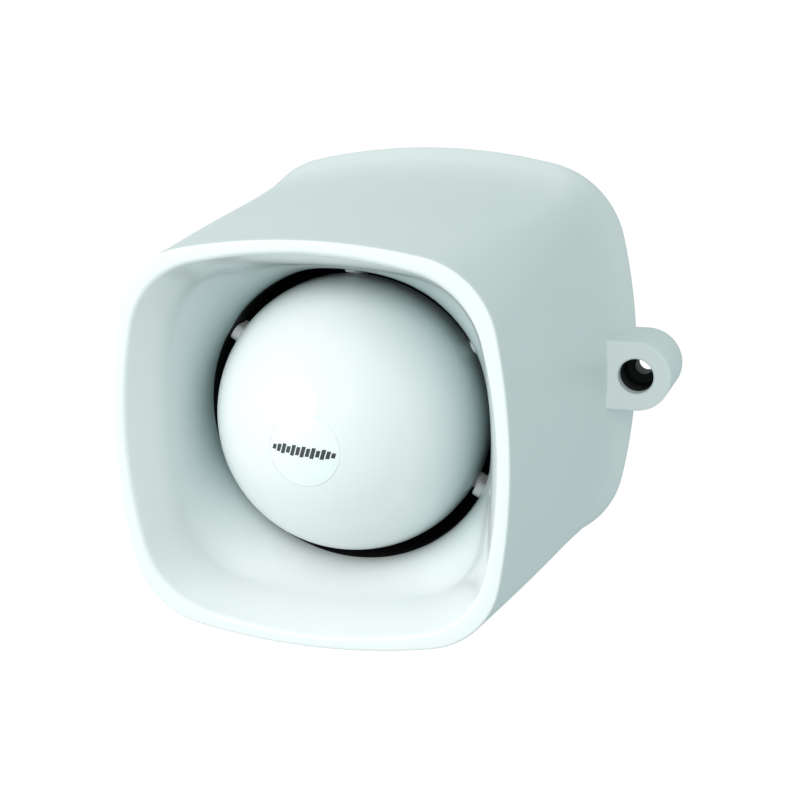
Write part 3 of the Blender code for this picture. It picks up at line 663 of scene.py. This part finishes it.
def ear_mesh(side):
    """The D-shaped lug on one side, its edges rounded, starting inside the wall."""
    rings = []
    stations = [(-EAR_THICK + EAR_ROUND * (1 - c), EAR_ROUND * (1 - s)) for c, s in quarter(5)]
    stations += [(-EAR_ROUND + EAR_ROUND * s, EAR_ROUND * (1 - c)) for c, s in quarter(5)]
    for y, inset in stations:
        start = EAR_ROOT + EAR_ROOT_RISE * (y + EAR_THICK) / EAR_THICK
        radius = EAR_RADIUS - inset
        ring = [Vector((side * start, y, -radius)), Vector((side * start, y, radius))]
        for step in range(EAR_STEPS + 1):
            angle = pi / 2 - pi * step / EAR_STEPS
            ring.append(Vector((side * (EAR_X + radius * cos(angle)), y, radius * sin(angle))))
        rings.append(ring)
    return skin(rings, False)


def in_flare(x, y, z):
    """Whether a place on the housing lies on the flare, not on the skin or the cavity."""
    margin = 0.3
    if not -DEPTH + LIP_ROUND_IN < y < THROAT_Y + margin:
        return False
    return sqrt(x * x + z * z) < flare_outline(y, atan2(z, x)) + margin


def make_housing(materials):
    """The white moulding with its ears, screw bosses and bores; its bowl and the back of its bores
    are painted black as shade, and its flare has painted shade towards the throat.
    """
    white = materials["white_abs"]
    painted_shade_slot, flare_shade_slot, margin = 1, 2, 0.02
    housing = make_piece(
        "siren_housing", skin(housing_rings(), True), white, materials["painted_shade_black"],
        materials["flare_abs_painted_shade"], smooth_angle=40.0)
    steps = []
    for side in (1, -1):
        steps.append(("UNION", make_piece("ear_shape", ear_mesh(side), white)))
    for centre in corners(BOSS_AT):
        boss = [(0.0, LEDGE_Y - BOSS_LENGTH), (BOSS_RADIUS, LEDGE_Y - BOSS_LENGTH),
                (BOSS_RADIUS, -COVER_THICK - GAP), (0.0, -COVER_THICK - GAP)]
        steps.append(("UNION", turned("boss_shape", boss, white, 32, centre)))
    for centre in corners(BOSS_AT):
        pilot = [(0.0, PILOT_END_Y), (PILOT_RADIUS, PILOT_END_Y), (PILOT_RADIUS, PAST),
                 (0.0, PAST)]
        steps.append(("DIFFERENCE", turned("boss_pilot", pilot, white, 20, centre)))
    for side in (1, -1):
        front, floor = -EAR_THICK, EAR_BORE_FLOOR_Y
        bore = [(0.0, front - PAST), (EAR_BORE + EAR_BEVEL + PAST, front - PAST),
                (EAR_BORE + EAR_BEVEL, front), (EAR_BORE, front + EAR_BEVEL),
                (EAR_BORE, EAR_SHADE_FROM_Y), (EAR_BORE, floor), (EAR_HOLE + EAR_HOLE_BEVEL, floor),
                (EAR_HOLE, floor + EAR_HOLE_BEVEL), (EAR_HOLE, PAST), (0.0, PAST)]
        steps.append(("DIFFERENCE", turned("ear_bore", bore, white, 64, (side * EAR_X, 0.0))))
    carve(housing, steps)
    # Painted shade: faces inside the bowl and at the back of each ear bore take the near-black
    # finish; the flare's faces take the finish darkened towards the throat.
    for face in housing.data.polygons:
        x, y, z = face.center / MM
        radius = sqrt(x * x + z * z)
        from_hole = sqrt((abs(x) - EAR_X) ** 2 + z * z)
        if radius < THROAT_RADIUS + margin and THROAT_Y - margin < y < SEAT_Y - 0.1:
            face.material_index = painted_shade_slot
        elif from_hole < EAR_BORE + margin and EAR_SHADE_FROM_Y < y < -0.1:
            face.material_index = painted_shade_slot
        elif y < THROAT_Y and in_flare(x, y, z):
            face.material_index = flare_shade_slot
    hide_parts("horn_housing")
    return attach(housing, STILL)


# ---- dome ----------------------------------------------------------------------------------

def dome_y(radius, rim=DOME_RADIUS, pole=DOME_POLE_Y):
    """Depth of the dome's curve at a radius, from its rim to its pole."""
    share = min(radius / rim, 1.0)
    return DOME_CURVE_Y + (pole - DOME_CURVE_Y) * (1 - share ** 2) ** (1 / DOME_POWER)


def dome_arc(rim, pole, inner, count):
    """(radius, y) points from the skirt towards the pole, down to a radius of inner."""
    start = atan2(sqrt(1 - (inner / rim) ** 2), inner / rim)
    radii = [rim * cos(start * step / count) for step in range(count + 1)]
    return [(radius, dome_y(radius, rim, pole)) for radius in radii]


def make_dome(materials):
    """The reflector: a hollow dome with a short skirt and a seat for the badge in its pole."""
    seat = BADGE_RADIUS + BADGE_SEAM
    outside = [(DOME_RADIUS, DOME_RIM_Y - DOME_EDGE)]
    outside += dome_arc(DOME_RADIUS, DOME_POLE_Y, seat, count=64)
    edge = outside[-1][1]
    inside_rim, inside_pole = DOME_RADIUS - DOME_WALL, DOME_POLE_Y + DOME_WALL
    inside = dome_arc(inside_rim, inside_pole, 2.0, count=24)
    profile = [(0.0, inside_pole)] + list(reversed(inside))
    profile += [(inside_rim, DOME_RIM_Y), (DOME_RADIUS - DOME_EDGE, DOME_RIM_Y)] + outside
    profile += [(seat, edge + BADGE_THICK), (0.0, edge + BADGE_THICK)]
    # The dome's finish has painted shade towards its rim and its +X side.
    dome = turned("siren_dome", profile, materials["dome_abs_painted_shade"], steps=192)
    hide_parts("reflector_dome")
    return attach(dome, STILL)


def make_badge(materials):
    """A thin disc that fills the seat and carries on the dome's curve."""
    count = 16
    radii = [BADGE_RADIUS * step / count for step in range(1, count)]
    edge = dome_y(BADGE_RADIUS)
    radii.append(BADGE_RADIUS - BADGE_EDGE)
    profile = [(0.0, DOME_POLE_Y)] + [(radius, dome_y(radius)) for radius in radii]
    profile += [(BADGE_RADIUS, edge + BADGE_EDGE), (BADGE_RADIUS, edge + BADGE_BACK),
                (0.0, edge + BADGE_BACK)]
    badge = turned("badge_plate", profile, materials["badge"], steps=128)
    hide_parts("badge_disc")
    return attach(badge, STILL)


def make_badge_mark(materials):
    """A generic printed row of slanted sound-level bars that follows the badge's curve."""
    builder = bmesh.new()
    for index, height in enumerate(MARK_HEIGHTS):
        middle = (index - (len(MARK_HEIGHTS) - 1) / 2) * MARK_PITCH
        rows = []
        for level in range(MARK_LEVELS + 1):
            z = height * (level / MARK_LEVELS - 0.5)
            x = middle + MARK_SLANT * z
            ring = []
            for side, lift in ((-1, MARK_SUNK), (1, MARK_SUNK), (1, -MARK_RAISED),
                               (-1, -MARK_RAISED)):
                place_x = x + side * MARK_WIDTH / 2
                depth = dome_y(sqrt(place_x ** 2 + z ** 2)) + lift
                ring.append(builder.verts.new((place_x, depth, z)))
            rows.append(ring)
        for low, high in zip(rows, rows[1:]):
            for side in range(4):
                after = (side + 1) % 4
                builder.faces.new((low[side], low[after], high[after], high[side]))
        builder.faces.new(rows[0])
        builder.faces.new(list(reversed(rows[-1])))
    turn = Matrix.Rotation(radians(MARK_TURN), 3, "Y")
    bmesh.ops.rotate(builder, cent=(0, 0, 0), matrix=turn, verts=builder.verts)
    mark = make_piece("badge_mark", builder, materials["ink"])
    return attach(mark, STILL)


def lug_ring(radius, front, inset=0.0):
    """Section across a lug: a bar with a half-round front edge."""
    half = LUG_WIDTH / 2 - inset
    points = [Vector((radius, LUG_BACK_Y, -half)), Vector((radius, LUG_BACK_Y, half))]
    for step in range(LUG_STEPS + 1):
        angle = pi * step / LUG_STEPS
        y = front + LUG_WIDTH / 2 - half * sin(angle)
        points.append(Vector((radius, y, half * cos(angle))))
    return points


def make_dome_support(materials):
    """A ring inside the dome's rim with five lugs that reach out to the throat wall."""
    dome_inside = DOME_RADIUS - DOME_WALL
    ring = turned("dome_carrier", [
        (RING_INNER, RING_BACK_Y), (RING_OUTER, RING_BACK_Y), (RING_OUTER, RING_FRONT_Y),
        (dome_inside - GAP - 0.1, RING_FRONT_Y), (dome_inside - 1.0, RING_LIP_Y),
        (RING_INNER + 0.4, RING_LIP_Y), (RING_INNER, RING_FRONT_Y),
    ], materials["white_abs"], steps=144)
    steps = []
    for angle in LUG_ANGLES:
        turn = Matrix.Rotation(-radians(angle), 4, "Y")
        sections = [lug_ring(RING_INNER + 1.0, ARM_FRONT_Y), lug_ring(LUG_HEAD_INNER, ARM_FRONT_Y)]
        for c, s in quarter(4):
            radius = LUG_HEAD_INNER + LUG_STEP + LUG_ROUND * (1 - c)
            sections.append(lug_ring(radius, LUG_FRONT_Y, LUG_ROUND * (1 - s)))
        sections.append(lug_ring(LUG_OUTER, LUG_FRONT_Y))
        shape = skin(sections, False)
        bmesh.ops.transform(shape, matrix=turn, verts=shape.verts)
        steps.append(("UNION", make_piece("lug_shape", shape, materials["white_abs"])))
    carve(ring, steps)
    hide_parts("dome_support")
    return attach(ring, STILL)


# ---- back ----------------------------------------------------------------------------------

def make_rear_cover(materials):
    """The plate in the back recess, with countersinks and a cable hole."""
    inset = GAP * 0.7
    rings = []
    for c, s in quarter(4):
        y, round_in = -COVER_EDGE * (1 - s) - COVER_SUNK, COVER_EDGE * (1 - c)
        rings.append(square_ring(y, RECESS_HALF, RECESS_CORNER, inset=inset + round_in))
    rings.reverse()
    rings.append(square_ring(-COVER_THICK, RECESS_HALF, RECESS_CORNER, inset=inset))
    cover = make_piece("rear_cover_plate", skin(rings, False), materials["cover_abs"])
    steps = []
    for centre in corners(BOSS_AT):
        sink = turned("sink", SCREW_SINK, materials["cover_abs"], 48, centre)
        steps.append(("DIFFERENCE", sink))
    inlet = turned("inlet", INLET, materials["cover_abs"], 64, (0.0, INLET_Z))
    steps.append(("DIFFERENCE", inlet))
    carve(cover, steps)
    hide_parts("rear_cover")
    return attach(cover, STILL)


def make_rear_screws(materials):
    """Countersunk cross-head screws of the back cover, each stopped at its own angle."""
    for index, centre in enumerate(corners(BOSS_AT)):
        profile = list(SCREW_HEAD)
        depth = THREAD_START_Y
        while depth > THREAD_END_Y:
            profile += [(radius, depth - down) for radius, down in THREAD]
            depth -= THREAD_PITCH
        profile += SCREW_TIP
        screw = turned("rear_screw_head_%d" % (index + 1), profile, materials["screw"], 40, centre)
        steps = []
        stopped_at = 20 + 31 * index
        for angle in (stopped_at, stopped_at + 90):
            bar = bmesh.new()
            bmesh.ops.create_cube(bar, size=1.0)
            bmesh.ops.scale(bar, vec=CROSS_BAR, verts=bar.verts)
            for vertex in bar.verts:
                if vertex.co.y < 0:
                    vertex.co.x *= CROSS_TAPER
            turn = Matrix.Rotation(radians(angle), 4, "Y")
            bmesh.ops.transform(bar, matrix=turn, verts=bar.verts)
            bmesh.ops.translate(bar, vec=(centre[0], CROSS_Y, centre[1]), verts=bar.verts)
            steps.append(("DIFFERENCE", make_piece("cross_bar", bar, materials["screw"])))
        carve(screw, steps)
        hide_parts("rear_screw_%d" % (index + 1))
        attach(screw, STILL)


def make_grommet(materials):
    """The rubber cable inlet, a ring with rounded lips on both sides of the cover."""
    grommet = turned("cable_inlet_grommet", GROMMET, materials["rubber"], 72, (0.0, INLET_Z))
    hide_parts("cable_grommet")
    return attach(grommet, STILL)


# ---- studio --------------------------------------------------------------------------------

def make_camera():
    """The camera at the photograph's viewing angle."""
    a, e, r = radians(CAMERA_AZIMUTH), radians(CAMERA_ELEVATION), radians(CAMERA_ROLL)
    back = Vector((sin(a) * cos(e), -cos(a) * cos(e), sin(e)))
    right = Vector((cos(a), sin(a), 0.0))
    up = back.cross(right)
    across, above = right * cos(r) + up * sin(r), up * cos(r) - right * sin(r)
    data = bpy.data.cameras.new("camera")
    data.lens = CAMERA_LENS
    data.sensor_width = CAMERA_SENSOR
    data.clip_start, data.clip_end = 0.01, 20.0
    camera = bpy.data.objects.new("camera", data)
    place = Vector((0.0, -DEPTH, 0.0)) + across * CAMERA_RIGHT + above * CAMERA_UP
    place = (place + back * CAMERA_DISTANCE) * MM
    turn = Matrix((across, above, back)).transposed().to_4x4()
    camera.matrix_world = Matrix.Translation(place) @ turn
    bpy.context.scene.collection.objects.link(camera)
    bpy.context.scene.camera = camera


def make_light(name, place, width, power, mirrored):
    """A round area light; one that isn't mirrored lights the siren without a reflection."""
    data = bpy.data.lights.new(name, "AREA")
    data.shape = "ELLIPSE"
    data.size = width
    data.size_y = width
    data.energy = power
    data.color = LIGHT_COLOUR
    light = bpy.data.objects.new(name, data)
    light.location = place
    light.visible_glossy = mirrored
    direction = Vector(LIGHT_AIM) - Vector(place)
    light.rotation_euler = direction.to_track_quat("-Z", "Y").to_euler()
    bpy.context.scene.collection.objects.link(light)


def make_world():
    """A pale room: it looks white, and its light on the siren is soft and slightly cool."""
    world = bpy.data.worlds.new("studio")
    bpy.context.scene.world = world
    world.use_nodes = True
    tree = world.node_tree
    soft = tree.nodes["Background"]
    soft.inputs["Color"].default_value = (*FILL, 1.0)
    seen = tree.nodes.new("ShaderNodeBackground")
    seen.inputs["Color"].default_value = (1.0, 1.0, 1.0, 1.0)
    seen.inputs["Strength"].default_value = BACKDROP
    choose = tree.nodes.new("ShaderNodeMixShader")
    path = tree.nodes.new("ShaderNodeLightPath")
    tree.links.new(path.outputs["Is Camera Ray"], choose.inputs[0])
    tree.links.new(soft.outputs[0], choose.inputs[1])
    tree.links.new(seen.outputs[0], choose.inputs[2])
    tree.links.new(choose.outputs[0], tree.nodes["World Output"].inputs["Surface"])


def make_floor():
    """A plain pale floor well below the siren, as bright as the room round it."""
    shader = Shader("studio_floor", roughness=1.0, specular=0.0)
    shader.main.inputs["Base Color"].default_value = (0.0, 0.0, 0.0, 1.0)
    shader.main.inputs["Emission Color"].default_value = (1.0, 1.0, 1.0, 1.0)
    shader.main.inputs["Emission Strength"].default_value = BACKDROP
    builder = bmesh.new()
    bmesh.ops.create_grid(builder, x_segments=8, y_segments=8, size=FLOOR_HALF)
    bmesh.ops.translate(builder, vec=(0.0, 0.0, FLOOR_Z), verts=builder.verts)
    floor = make_piece("studio_floor", builder, shader.material)
    floor.visible_diffuse = False
    floor.visible_glossy = False
    floor.visible_shadow = False


def make_studio():
    """Plain soft light, a pale floor and the camera."""
    bpy.context.scene.view_settings.view_transform = "Standard"
    make_world()
    make_floor()
    for light in LIGHTS:
        make_light(*light)
    make_camera()


def build():
    """Finishes the CAD nodes, then makes every new piece and the studio."""
    materials = make_materials()
    paint_frame(materials)
    make_housing(materials)
    make_dome(materials)
    make_badge(materials)
    make_badge_mark(materials)
    make_dome_support(materials)
    make_rear_cover(materials)
    make_rear_screws(materials)
    make_grommet(materials)
    make_studio()


build()
